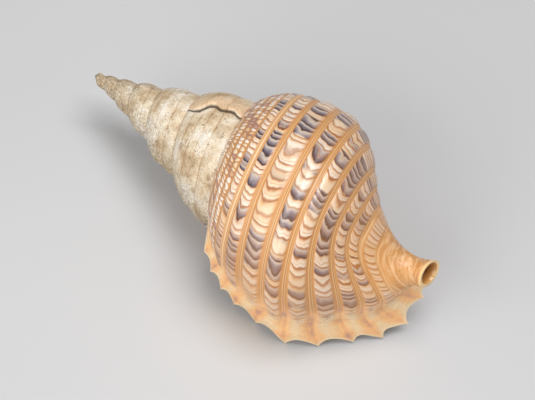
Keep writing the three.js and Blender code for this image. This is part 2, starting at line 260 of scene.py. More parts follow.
def base_radius(n, q):
    """Radius at a share q of the way from the widest line to the canal: a cubic through a table that
    falls with the turn n, its first slope the same as the whorl's above the widest line."""
    n, q = np.broadcast_arrays(np.asarray(n, float), np.asarray(q, float))
    shrink = RADIUS_RATIO ** -np.maximum(n - 1, 0)
    y = np.stack([seam_radius(n - 1)] + [
        (b + (a - b) * np.clip(1 - n, 0, 1.3) ** fall) * shrink
        for a, b, fall in zip(BASE_AT_LIP, BASE_ONE_TURN_BACK, BASE_FALL)
    ])
    x = BASE_STEPS
    d = (y[1:] - y[:-1]) / (x[1:] - x[:-1]).reshape((-1,) + (1,) * n.ndim)
    rise = seam_height(n - 1) - seam_height(n)
    first = (seam_radius(n - 1) - seam_radius(n) - swell(n) * rise * np.pi * SHOULDER_POWER) / rise
    first = first * (base_end(n) - seam_height(n - 1))
    slope = np.concatenate([first[None], (d[1:] + d[:-1]) / 2, d[-1:]])
    i = np.clip(np.searchsorted(x, q, side="left") - 1, 0, len(x) - 2)
    take = lambda table, at: np.take_along_axis(table, at[None], 0)[0]
    w = x[i + 1] - x[i]
    s = (q - x[i]) / w
    return ((2 * s ** 3 - 3 * s ** 2 + 1) * take(y, i) + (s ** 3 - 2 * s ** 2 + s) * w * take(slope, i)
            + (3 * s ** 2 - 2 * s ** 3) * take(y, i + 1) + (s ** 3 - s ** 2) * w * take(slope, i + 1))


def outline(n, v):
    """Plain whorl as height along the axis and radius: from v 0 at the seam to 1 at the widest line it is a
    straight line plus a skewed half sine, and from 1 to 2 it is the base down to the canal."""
    n, v = np.broadcast_arrays(np.asarray(n, float), np.asarray(v, float))
    top, rise = seam_height(n), seam_height(n - 1) - seam_height(n)
    bulge = swell(n) * rise * np.sin(np.pi * np.clip(v, 0, 1) ** SHOULDER_POWER)
    blunt = TIP_SWELL * bell((top + v * rise) / TIP_SWELL_LENGTH)
    upper_r = blend(seam_radius(n), seam_radius(n - 1), v) + bulge + blunt
    lower_h = blend(seam_height(n - 1), base_end(n), v - 1)
    lower_r = base_radius(n, np.clip(v - 1, 0, 1))
    return np.where(v <= 1, top + v * rise, lower_h), np.where(v <= 1, upper_r, lower_r)


def outline_normal(n, v):
    """Unit vector square to the outline, outwards, as (height, radius), from two near points of it."""
    h0, r0 = outline(n, np.clip(v - 0.004, 0, 2))
    h1, r1 = outline(n, np.clip(v + 0.004, 0, 2))
    size = np.hypot(h1 - h0, r1 - r0)
    return -(r1 - r0) / size, (h1 - h0) / size


LIP_V = np.linspace(0, 2, 201)
LIP_OUTLINE = np.stack(outline(0.0, LIP_V))
LIP_LENGTHS = np.concatenate([[0], np.cumsum(np.hypot(*np.diff(LIP_OUTLINE, axis=1)))])


def lip_share(v):
    """Share of the lip's length at v, measured along the plain outline at the lip."""
    return np.interp(v, LIP_V, LIP_LENGTHS / LIP_LENGTHS[-1])


def lip_shift(v):
    """How far the edge of the lip is turned back (+) or forward (-), in turns."""
    x = lip_share(v)
    forward = np.clip((x - LIP_FORWARD_FROM) / (1 - LIP_FORWARD_FROM), 0, 1) ** 1.5
    return (LIP_BACK * np.clip(1 - x / 0.3, 0, 1) ** 2 + LIP_FORWARD * forward
            + LIP_REACH * smooth(x / 0.2) * smooth((1 - x) / 0.15))


def inner_shift(v):
    """The same line one turn back, where the new whorl starts on the old one."""
    return np.where(v <= 1, LIP_BACK * v * v, blend(LIP_BACK, LIP_FORWARD, smooth(v - 1)))


def turn_at(m, v):
    """Turn reached by row m at v: rows near the lip follow its edge, rows one turn back its start."""
    inner = inner_shift(v)
    near = m + lip_shift(v) * np.clip(1 - m / LIP_BLEND, 0, 1.2)
    near = near + inner * np.clip((m - 1 + LIP_BLEND) / LIP_BLEND, 0, 1)
    return np.where(m >= 1, m + inner * np.clip(1 - (m - 1) / LIP_BLEND, 0, 1), near)


def groove(k, m):
    """Place of groove k on the whorl at row m: three tables, at the lip, the flare's root and the crest."""
    lip, root, crest = (np.array(table)[k] for table in (GROOVES_LIP, GROOVES_ROOT, GROOVES_CREST))
    near = blend(lip, root, smooth(m / ROOT_TURN))
    far = blend(root, crest, smooth((m - ROOT_TURN) / (CREST_TURN - ROOT_TURN)))
    return np.where(m < ROOT_TURN, near, far)


def scalloped(v):
    """Share of the scalloping along the lip: none at the seam or where the lip runs into the canal."""
    return smooth(lip_share(v) * 8) * smooth((1 - lip_share(v)) * 11)


def flare_at(m, v):
    """Height of the turned-out brim: a power law from its root to the lip, less a bell-shaped gutter."""
    brim_rise = FLARE * np.clip(1 - m / FLARE_TURN, 0, 1.6) ** FLARE_POWER
    gutter = GUTTER_DEPTH * bell((m - GUTTER_AT) / GUTTER_WIDTH)
    return (brim_rise - gutter) * np.interp(lip_share(v), *FLARE_ALONG)


PITCH_COS, PITCH_SIN = np.cos(np.radians(PITCH)), np.sin(np.radians(PITCH))


def slant(h):
    """Share by which the canal's end is drawn back at this height, for each millimetre above the axis."""
    return CUT_SLOPE * (np.maximum(h - CUT_FROM, 0) / (LENGTH - CUT_FROM)) ** 2


def place(n, h, r):
    """Point of the resting shell: turned n round the level axis, the canal bent up, then tipped about Y."""
    a = (LIP_ANGLE / 360 + n) * 2 * np.pi
    f = np.maximum((h - CANAL_START) / (LENGTH - CANAL_START), 0) ** 2
    y = -r * np.cos(a) - f * CANAL_SIDE
    z = r * np.sin(a) + f * CANAL_RISE
    aside = CUT_UP * r * np.sin(a) + CUT_NEAR * r * np.cos(a) + CANAL_END
    x1 = h * PITCH_COS - z * PITCH_SIN - slant(h) * aside
    z1 = h * PITCH_SIN + z * PITCH_COS
    return np.stack(np.broadcast_arrays(x1 - ORIGIN[0], y - ORIGIN[1], z1 - ORIGIN[2]), -1)


def way_along(m):
    """Length in millimetres along the whorl from the lip to row m, on a spiral of the last whorl's size."""
    return 2 * np.pi * 95 * (1 - RADIUS_RATIO ** -m) / np.log(RADIUS_RATIO)


BODY_WAY = way_along(1.0)
SPIRE_WAY = way_along(TIP_TURN) - BODY_WAY


def rib_profile(k, s):
    """Height across a rib as a share of its own: a half sine between two feet, flattened by a power. The first
    two bands are rows of cords, the third is a rib and a plain cord, and past the ribs are low lines."""
    arch = np.sin(np.pi * np.clip((s - RIB_FOOT) / (1 - 2 * RIB_FOOT), 0, 1)) ** ARCH_POWER
    cords = np.abs(np.sin(np.pi * s * CORDS_PER_BAND)) ** 0.8 * CORD_HEIGHT
    plain_cord = 0.8 * np.sin(np.pi * np.clip((s - PLAIN_CORD_FROM) / PLAIN_CORD_WIDTH, 0, 1)) ** 0.8
    third = np.where(s < THIRD_RIB_TO, np.sin(np.pi * np.clip(s / THIRD_RIB_TO, 0, 1)) ** 0.7, plain_cord)
    lines = np.abs(np.sin(np.pi * s * CANAL_LINES)) * CANAL_LINE_HEIGHT
    return np.select([k < 2, k == 2, k > LAST_RIB], [cords, third, lines], arch)


def old_lip_wave(m, v):
    """The old lip's edge isn't straight: it bends forward towards the upper seam and has two small sine waves.
    The rows near its own turn slide along the coil by this much, in turns, and so follow its edge."""
    wave = -OLD_LIP_BEND * smooth((0.5 - v) / 0.4)
    for size, waves, shift in OLD_LIP_WAVES:
        wave = wave + size * np.sin(2 * np.pi * waves * v + shift)
    return wave * bell((m - OLD_LIP) / OLD_LIP_REACH)


def outer_point(m, k, s):
    """A point of the outer face: the whorl's outline moved out along its normal by ribs, flare and old lips."""
    v = blend(groove(k, m), groove(k + 1, m), s)
    fold = np.clip(np.sin(np.pi * s), 0, 1)
    to_lip = np.clip(1 - m / SCALLOP_TURN, 0, 1)
    back = np.where((v > 0) & (v < 2), SCALLOP * fold ** 0.8 * to_lip * scalloped(v), 0)
    n = turn_at(m, v) + back + old_lip_wave(m, v)
    h, r = outline(n, v)
    nh, nr = outline_normal(n, v)

    # Ribs, worn low on the spire, with a thread beside each groove
    worn = np.where((m >= 1) & (v <= 1), SPIRE_RIB / (1 + 0.5 * (m - 1)),
                    blend(1, SPIRE_RIB, smooth((m - 0.6) / 0.4) * (v < 1)))
    thread = THREAD_HEIGHT * bell((np.minimum(s, 1 - s) - THREAD_AT) / THREAD_WIDTH)
    thread = thread * np.where((s > 0) & (k > 2) & (k <= LAST_RIB), 1, 0) * worn * smooth(m / 0.04)
    fade = smooth((m + 0.012) / RIB_FADE)
    out = np.append(RIB_HEIGHT, 0)[k] * worn * fade * rib_profile(k, s) + thread + flare_at(m + back, v)

    # Points at the lip's grooves, growth steps behind it, lumps on the spire
    out = out + POINT_HEIGHT * (1 - fold ** 0.6) * to_lip ** 2 * scalloped(v)
    steps = fold * np.sin(m * 2 * np.pi * GROWTH_PER_TURN + GROWTH_SHIFT * k)
    out = out + GROWTH_HEIGHT * steps * smooth((GROWTH_TO - m) / GROWTH_BLEND) * smooth(m / GROWTH_BLEND)
    lumps = np.sin(2 * np.pi * LUMPS_PER_TURN * m + 3 * np.sin(5 * v)) * np.sin(np.pi * np.clip(v, 0, 1))
    out = out + LUMP_HEIGHT * lumps * smooth((m - 1) / 0.05) / (1 + 0.5 * np.maximum(m - 1, 0))

    # Old lips: a quick step, then a bell-shaped fall behind it, and a crack before the newest
    along = np.where((m > 1) & (v < 1), np.clip(np.sin(np.pi * np.clip(v, 0, 1)), 0, 1) ** 0.4, 0)
    for turn, height, tail in RIDGES:
        past = m - turn
        step = np.clip(past / RIDGE_STEP, 0, 1) * np.exp(-2 * (past / tail) ** 2) * (past >= 0)
        out = out + height * along * step
    before = m - OLD_LIP + CRACK_BEFORE
    crack = bell(before / CRACK_WIDTH) * smooth((v - 0.14) / 0.1) * smooth((1.0 - v) / 0.03)
    out = out - CRACK_DEPTH * crack * (before < 0.005) * (m > 1)
    return place(n, h + nh * out, r + nr * out), v


def mesh_object(name, points, triangles, maps, slots, materials):
    """One object from arrays: points in millimetres, triangles, and two numbers per corner for each map."""
    mesh = bpy.data.meshes.new(name)
    mesh.vertices.add(len(points))
    mesh.vertices.foreach_set("co", (points * MM).ravel())
    mesh.loops.add(triangles.size)
    mesh.loops.foreach_set("vertex_index", triangles.ravel().astype(np.int32))
    mesh.polygons.add(len(triangles))
    mesh.polygons.foreach_set("loop_start", np.arange(0, triangles.size, 3, dtype=np.int32))
    for material in materials:
        mesh.materials.append(material)
    mesh.polygons.foreach_set("material_index", slots.astype(np.int32))
    mesh.polygons.foreach_set("use_smooth", np.ones(len(triangles), bool))
    for map_name, values in maps.items():
        layer = mesh.uv_layers.new(name=map_name)
        layer.uv.foreach_set("vector", values.reshape(-1).astype(np.float32))
    mesh.update()
    mesh.validate()
    piece = bpy.data.objects.new(name, mesh)
    bpy.context.collection.objects.link(piece)
    return piece


def unshrunk(triangles):
    """True for each triangle that hasn't shrunk to a line where the grid gets coarser."""
    a, b, c = triangles.T
    return (a != b) & (b != c) & (c != a)


def in_halves(quads, halves):
    """Each quad's two triangles, all the first ones and then all the second ones."""
    return np.concatenate([quads[:, half] for half in halves])


def sheet(area, x, y):
    """Place shares x and y of an area on the bake map."""
    return np.stack(np.broadcast_arrays(area[0] + area[2] * x, area[1] + area[3] * y), -1)


def outer_rows():
    """Rows of the outside in turns back from the lip, and how many make one turn: even steps, with closer ones
    by the lip and the old lip's crack."""
    step = np.arange(ROWS_PER_TURN) / ROWS_PER_TURN
    near_lip = (np.arange(LIP_ROWS) + 0.5) * LIP_ROWS_TO / LIP_ROWS
    near_crack = OLD_LIP - 1 + np.array(OLD_LIP_ROWS)
    one_turn = np.unique(np.round(np.concatenate([step, near_lip, near_crack]), 6))
    one_turn = one_turn[np.concatenate([[True], np.diff(one_turn) > ROW_GAP])]
    rows = (np.arange(int(TIP_TURN) + 2)[:, None] + one_turn).ravel()
    return rows[:np.searchsorted(rows, TIP_TURN) + 1], len(one_turn)


def mouth_lid(edge, inner):
    """Flat lid over the mouth, cut through later by the cavity: what is left of it is the lip's edge. It is one
    strip of triangles between the lip's edge and the line one turn back, stepping on whichever side lags."""
    steps = np.concatenate([np.arange(1, len(edge)) / len(edge), np.arange(1, len(inner)) / len(inner) + 1e-7])
    on_edge = np.argsort(steps, kind="stable") < len(edge) - 1
    a = np.concatenate([[0], np.cumsum(on_edge)[:-1]])
    b = np.concatenate([[0], np.cumsum(~on_edge)[:-1]])
    next_a, next_b = np.minimum(a + 1, len(edge) - 1), np.minimum(b + 1, len(inner) - 1)
    faces = np.stack([edge[a], inner[b], np.where(on_edge, edge[next_a], inner[next_b])], 1)
    share_a, share_b = np.linspace(0, 1, len(edge)), np.linspace(0, 1, len(inner))
    x = np.stack([share_a[a], share_b[b], np.where(on_edge, share_a[next_a], share_b[next_b])], 1)
    side = np.stack([0 * a, 0 * a + 1, np.where(on_edge, 0, 1)], 1).astype(float)
    good = unshrunk(faces)
    faces, x, side = faces[good], x[good], side[good]
    return faces, {"OFBake": sheet(SHEET_LID, side, x), "Coil": np.stack([side, x * BANDS], -1),
                   "Turns": np.stack([side, x * 2], -1)}


def canal_end(ring, ring_way, middle):
    """Fan of triangles from the canal's end ring to one middle point."""
    faces = np.stack([ring, np.full(len(ring), middle), np.roll(ring, -1)], 1)
    way = np.stack([ring_way, ring_way, np.roll(ring_way, -1)], 1)
    return faces, {"OFBake": sheet(SHEET_BODY, np.array([1.0, 1.02, 1.0]), way / BODY_WAY),
                   "Coil": np.stack([way, 0 * way + BANDS - 0.01], -1),
                   "Turns": np.stack([0 * way + 0.5, 0 * way + 2.0], -1)}


def tip_end(ids, rows, per, seam_column, middle):
    """Fan of triangles at the tip, round the last turn's seam and across the last row, to one middle point."""
    end = len(rows) - 1
    first, across = np.arange(end - per, end), np.arange(seam_column)
    faces = np.concatenate([
        np.stack([ids[first, 0], ids[first + 1, 0], np.full(per, middle)], 1),
        np.stack([ids[end, across], ids[end, across + 1], np.full(seam_column, middle)], 1),
    ])
    corner = np.concatenate([np.stack([first, first + 1, first], 1), np.full((seam_column, 3), end)])
    good = unshrunk(faces)
    way = way_along(rows[corner[good]])
    bake = sheet(SHEET_SPIRE, np.array([0.0, 0.0, -0.02]), (way - BODY_WAY) / SPIRE_WAY)
    return faces[good], {"OFBake": bake, "Coil": np.stack([way, 0 * way + 0.5], -1),
                         "Turns": np.stack([0 * way + TIP_TURN, 0 * way], -1)}


def outer_skin():
    """The whole outside as one closed skin: rows m turns back from the lip, columns from the seam to the canal,
    each turn joined along its widest line to the seam of the turn before it."""
    rows, per = outer_rows()
    count, across = len(rows), len(ACROSS_RIB)
    seam_column, last_column = WIDEST_GROOVE * across, BANDS * across
    column = np.arange(last_column + 1)
    k = np.minimum(column // across, BANDS - 1)
    s = np.where(column == last_column, 1.0, np.array(ACROSS_RIB)[column % across])
    m = rows[:, None]
    points, v = outer_point(m, k[None], s[None])

    # Fewer columns on the smaller whorls
    kept = np.where(m > COARSEST_FROM, column // 4 * 4, np.where(m > COARSE_FROM, column // 2 * 2, column))
    middle = points.shape[0] * points.shape[1]
    ids = np.take_along_axis(np.arange(middle).reshape(count, -1), kept, 1)
    ids[per:, seam_column] = ids[:-per, 0]

    band, way = (k + s)[None] + 0 * m, way_along(m) + 0 * s[None]
    on_body = sheet(SHEET_BODY, band / BANDS, np.clip(way / BODY_WAY, 0, 1))
    on_spire = sheet(SHEET_SPIRE, v * HEIGHT_RATIO ** -(m - 1), (way - BODY_WAY) / SPIRE_WAY)
    coil, turns = np.stack([way, band], -1), np.stack([m + 0 * v, v], -1)

    row, col = np.meshgrid(np.arange(count - 1), np.arange(last_column), indexing="ij")
    inside = (row < per) | (col < seam_column)
    row, col = row[inside], col[inside]
    corners_of_quad = ((row, col), (row, col + 1), (row + 1, col + 1), (row + 1, col))
    triangles = in_halves(np.stack([ids[i, j] for i, j in corners_of_quad], 1), SKIN_HALVES)
    i = in_halves(np.stack([i for i, j in corners_of_quad], 1), SKIN_HALVES)
    j = in_halves(np.stack([kept[i, j] for i, j in corners_of_quad], 1), SKIN_HALVES)
    on_last_whorl = np.concatenate([row < per, row < per])
    good = unshrunk(triangles)
    triangles, i, j, on_last_whorl = triangles[good], i[good], j[good], on_last_whorl[good]
    maps = {"OFBake": np.where(on_last_whorl[:, None, None], on_body[i, j], on_spire[i, j]),
            "Coil": coil[i, j], "Turns": turns[i, j]}

    parts = (
        (triangles, maps),
        mouth_lid(ids[0], ids[per, seam_column:]),
        canal_end(ids[:per + 1, last_column], way_along(rows[:per + 1]), middle),
        tip_end(ids, rows, per, seam_column, middle + 1),
    )
    points = np.concatenate([points.reshape(-1, 3), [place(0.0, LENGTH, 0.0), place(0.0, TIP_MIDDLE, 0.0)]])
    points = np.clip(points, *(np.array(cad_box) / MM))
    slots = np.repeat([OUTSIDE, RIM, OUTSIDE, OUTSIDE], [len(faces) for faces, _ in parts])
    triangles = np.concatenate([faces for faces, _ in parts])
    maps = {name: np.concatenate([own[name] for _, own in parts]) for name in maps}
    used, renumbered = np.unique(triangles, return_inverse=True)
    return points[used], renumbered.reshape(triangles.shape), maps, slots


def tube_faces(rows, ring):
    """Triangles of a tube of so many rows and points a ring, with each corner's row and place round it."""
    i, k = np.meshgrid(np.arange(rows - 1), np.arange(ring), indexing="ij")
    i, k = i.ravel(), k.ravel()
    row = in_halves(np.stack([i, i, i + 1, i + 1], 1), TUBE_HALVES)
    round_it = in_halves(np.stack([k, k + 1, k + 1, k], 1), TUBE_HALVES)
    return row * ring + round_it % ring, row, round_it


def hollow():
    """The cavity as a closed curved tube from the mouth into the last whorl. Its outer side lies one wall
    inside the outer face and its inner side just off the column, with teeth pressed into it by the lip."""
    by_lip = np.linspace(HOLLOW_FROM, 0.11, HOLLOW_ROWS_LIP)
    m = np.concatenate([by_lip, np.linspace(0.12, HOLLOW_TO, HOLLOW_ROWS)])[:, None]
    side = np.linspace(0, 1, HOLLOW_SIDE + 1)[None]
    deep = smooth(m - 0.5)
    wall = blend(blend(LIP_WALL, WALL, smooth(m / 0.08)), SPIRE_WALL, deep)
    wall = wall + LIP_RIM * bell((m - LIP_RIM_AT) / LIP_RIM_WIDTH)
    callus = blend(blend(LIP_CALLUS, CALLUS, smooth(m / 0.10)), SPIRE_CALLUS, deep)
    first_v = blend(HOLLOW_SEAM_LIP, HOLLOW_SEAM, smooth(m / 0.2))
    v = blend(first_v, np.interp(m, *HOLLOW_ENDS), side ** 0.85)
    n = np.where(m < 1, m + lip_shift(v) * np.clip(1 - m / LIP_BLEND, 0, 1.2), m)
    h, r = outline(n, v)
    nh, nr = outline_normal(n, v)

    # Teeth, as bells round two places beside each groove
    band = np.interp(v, GROOVES_LIP, np.arange(len(GROOVES_LIP)))
    tooth = bell((np.abs(band - np.round(band)) - TOOTH_APART) / TOOTH_WIDTH)
    tooth = tooth * smooth((band - FIRST_TOOTH) / TOOTH_BLEND) * smooth((LAST_TOOTH - band) / TOOTH_BLEND)
    tooth = TOOTH_HEIGHT * tooth * bell((m - TOOTH_TURN) / TOOTH_LENGTH)

    out = flare_at(m, v) - wall
    hi, ri = h + nh * out, r + nr * out
    q = np.clip((hi - seam_height(n)) / (base_end(n + 1) - seam_height(n)), 0, 1)
    column = np.minimum(base_radius(n + 1, q) + callus, ri - MIN_GAP)
    outside = place(n, hi - nh * tooth, np.maximum(ri - nr * tooth, column + 0.5))
    inside = place(n, hi, np.maximum(column, 0.5))
    points = np.concatenate([outside, inside[:, ::-1]], 1)
    rows, ring = points.shape[:2]
    way, row_turn = way_along(m) + 0 * side, m + 0 * side
    coil = np.concatenate([np.stack([way, band], -1), np.stack([way, hi + 1000], -1)[:, ::-1]], 1)
    turns = np.concatenate([np.stack([row_turn, v], -1), np.stack([row_turn, v + ON_COLUMN], -1)[:, ::-1]], 1)
    triangles, i, k = tube_faces(rows, ring)
    share = np.clip((m[:, 0] - HOLLOW_FROM) / (HOLLOW_TO - HOLLOW_FROM), 0, 1) ** 0.6
    maps = {"OFBake": sheet(SHEET_HOLLOW, k / ring, share[i]), "Coil": coil[i, k % ring],
            "Turns": turns[i, k % ring]}

    # Both ends closed across
    e = np.arange(HOLLOW_SIDE)
    caps = []
    for start, flip in ((0, False), ((rows - 1) * ring, True)):
        a, b, c, d = start + e, start + e + 1, start + ring - 1 - e, start + ring - 2 - e
        pair = np.concatenate([np.stack([a, d, b], 1), np.stack([a, c, d], 1)])
        caps.append(pair[:, ::-1] if flip else pair)
    caps = np.concatenate(caps)
    cap_maps = {"OFBake": sheet(SHEET_HOLLOW, np.array([0.2, 0.21, 0.205]), 1.01 + 0.0 * caps),
                "Coil": coil.reshape(-1, 2)[caps], "Turns": turns.reshape(-1, 2)[caps]}
    maps = {name: np.concatenate([maps[name], cap_maps[name]]) for name in maps}
    triangles = np.concatenate([triangles, caps])
    return points.reshape(-1, 3), triangles, maps, np.full(len(triangles), INSIDE)


def canal_bore():
    """The canal's bore: a round tube carried along a bent path, its radius read from the same table."""
    fine = np.linspace(0, len(CANAL_PATH) - 1, CANAL_ROWS)
    h, off, radius = (np.interp(fine, np.arange(len(CANAL_PATH)), column) for column in CANAL_PATH.T)
    t = np.arange(CANAL_SIDES) / CANAL_SIDES * 2 * np.pi
    y, z = radius[:, None] * np.cos(t), radius[:, None] * np.sin(t)
    drawn_back = BORE_TILT * z + slant(h)[:, None] * (CUT_UP * z - CUT_NEAR * y)
    points = place(CANAL_TURN, h, off)[:, None] + np.stack([-drawn_back, y, z], -1)
    triangles, i, k = tube_faces(CANAL_ROWS, CANAL_SIDES)
    e = np.arange(1, CANAL_SIDES - 1)
    last = (CANAL_ROWS - 1) * CANAL_SIDES
    caps = np.concatenate([np.stack([0 * e, e + 1, e], 1), np.stack([0 * e + last, last + e, last + e + 1], 1)])
    bake = np.concatenate([sheet(SHEET_BORE, k / CANAL_SIDES, i / CANAL_ROWS),
                           sheet(SHEET_BORE, 0.5, 1.01 + 0.0 * caps)])
    triangles = np.concatenate([triangles, caps])
    mark = np.stack([np.full(triangles.shape, IN_CANAL), np.full(triangles.shape, 1.9)], -1)
    maps = {"OFBake": bake, "Coil": mark, "Turns": mark}
    return points.reshape(-1, 3), triangles, maps, np.full(len(triangles), INSIDE)


# Sizes of the shell's patterns in millimetres, measured along the coil
CRESCENT_SPACING = 8.0
CRESCENT_BOW = 9.0
WANDER_LENGTH, WANDER_DEPTH = 20.0, 14.0
KINK_LENGTH, KINK_DEPTH = 24.0, 7.0
RAGGED_SIZE, RAGGED_DEPTH = 3.0, 1.5
LIP_CROWDING_LENGTH, LIP_CROWDING = 25.0, 18.0
GROUP_LENGTH = 21.0
SCUFF_SIZE = 20.0
BEAD_SPACING = 4.6
BEAD_WAVER = 9.0
STREAK_LENGTH = 50.0
BRIM_BLOTCH = 17.0
CHALK_PATCH = 22.0
CHALK_GRAIN = 1.9
STAIN_SIZE = 10.0
# Heights in millimetres below which painted shade darkens the low spire near the table
LOW_SHADE_TOP, LOW_SHADE_FULL = 104.0, 50.0
EDGE_BLOTCH = 50 / 3
PORCELAIN_PATCH = 500 / 19
WRINKLE_WAVER = 50 / 3
PAPER_TONE = 1000 / 3

# Bow and spacing of the crescents from rib to rib, as shares of the two sizes above, by the rib's place
BOW_BY_RIB = (
    (0.0, 0.0), (0.14, 0.3), (0.23, 0.6), (0.31, 0.85), (0.39, 1.0), (0.54, 0.9), (0.69, 0.75), (0.77, 0.5))
SPACING_BY_RIB = (
    (0.0, 0.5), (0.15, 0.6), (0.23, 0.78), (0.31, 0.95), (0.39, 1.0), (0.62, 1.05), (0.69, 1.1), (0.77, 1.2))

# Purple crescents from their dark lower edge up, a groove from its middle out, and the plain cord across
PURPLE_STOPS = ((0.0, "#4e424d"), (0.22, "#645862"), (0.5, "#8a7f86"), (0.8, "#c6b7af"), (1.0, "#ecd2b1"))
GROOVE_STOPS = (
    (0.0, "#b67a43"), (0.03, "#c68a50"), (0.08, "#e6bd8a"), (0.14, "#cb9056"), (0.22, "#cd9257"),
    (0.34, "#d49b61"))
PLAIN_CORD_STOPS = (
    (0.64, "#b8763f"), (0.70, "#edcb9e"), (0.76, "#d8a06a"), (0.88, "#dba873"), (0.94, "#edcb9e"),
    (1.0, "#b8763f"))

# Bands where the cords end, where the plain orange by the canal begins, and where its pale ring begins
CORDS_TO, CANAL_FROM, RING_FROM = 2.0, 10.0, 12.78

# Node kinds in short, and what makes a Mix node mix colours
MATH, MIX, RANGE, RAMP = "ShaderNodeMath", "ShaderNodeMix", "ShaderNodeMapRange", "ShaderNodeValToRGB"
NOISE, RANDOM, JOIN = "ShaderNodeTexNoise", "ShaderNodeTexWhiteNoise", "ShaderNodeCombineXYZ"
SPLIT, MAP, BUMP, COORD = "ShaderNodeSeparateXYZ", "ShaderNodeUVMap", "ShaderNodeBump", "ShaderNodeTexCoord"
OF_COLOURS = {"out": 2, "data_type": "RGBA"}


def colour(hex_code):
    """An sRGB hex colour as linear red, green, blue and alpha."""
    srgb = np.array([int(hex_code[i:i + 2], 16) for i in (1, 3, 5)]) / 255
    linear = np.where(srgb <= 0.04045, srgb / 12.92, ((srgb + 0.055) / 1.055) ** 2.4)
    return (*linear, 1.0)


def put(tree, kind, inputs=(), out=0, stops=(), **settings):
    """Add one node with its settings: sockets are linked, and numbers and hex colours are set on its inputs."""
    node = tree.nodes.new(kind)
    for name, value in settings.items():
        setattr(node, name, value)
    if stops:
        ramp = node.color_ramp
        while len(ramp.elements) < len(stops):
            ramp.elements.new(0.5)
        for element, (position, value) in zip(ramp.elements, stops):
            element.position = position
            element.color = colour(value) if isinstance(value, str) else (value, value, value, 1)
    pairs = inputs.items() if isinstance(inputs, dict) else enumerate(inputs)
    for key, value in pairs:
        if isinstance(value, bpy.types.NodeSocket):
            tree.links.new(value, node.inputs[key])
        elif isinstance(value, str):
            node.inputs[key].default_value = colour(value)
        else:
            node.inputs[key].default_value = value
    return node.outputs[out]


def new_material(name, looks, **constants):
    """A material whose colour, roughness and bump come from nodes; constants go on the shader's sockets."""
    material = bpy.data.materials.new(name)
    material.use_nodes = True
    tree = material.node_tree
    shader = tree.nodes["Principled BSDF"]
    for socket, value in constants.items():
        shader.inputs[socket.replace("_", " ")].default_value = value
    for socket, made in zip(("Base Color", "Roughness", "Normal"), looks(tree)):
        tree.links.new(made, shader.inputs[socket])
    return material


def repeats(mm):
    """Repeats per metre of a pattern whose features are this many millimetres long."""
    return 1 / (mm * MM)


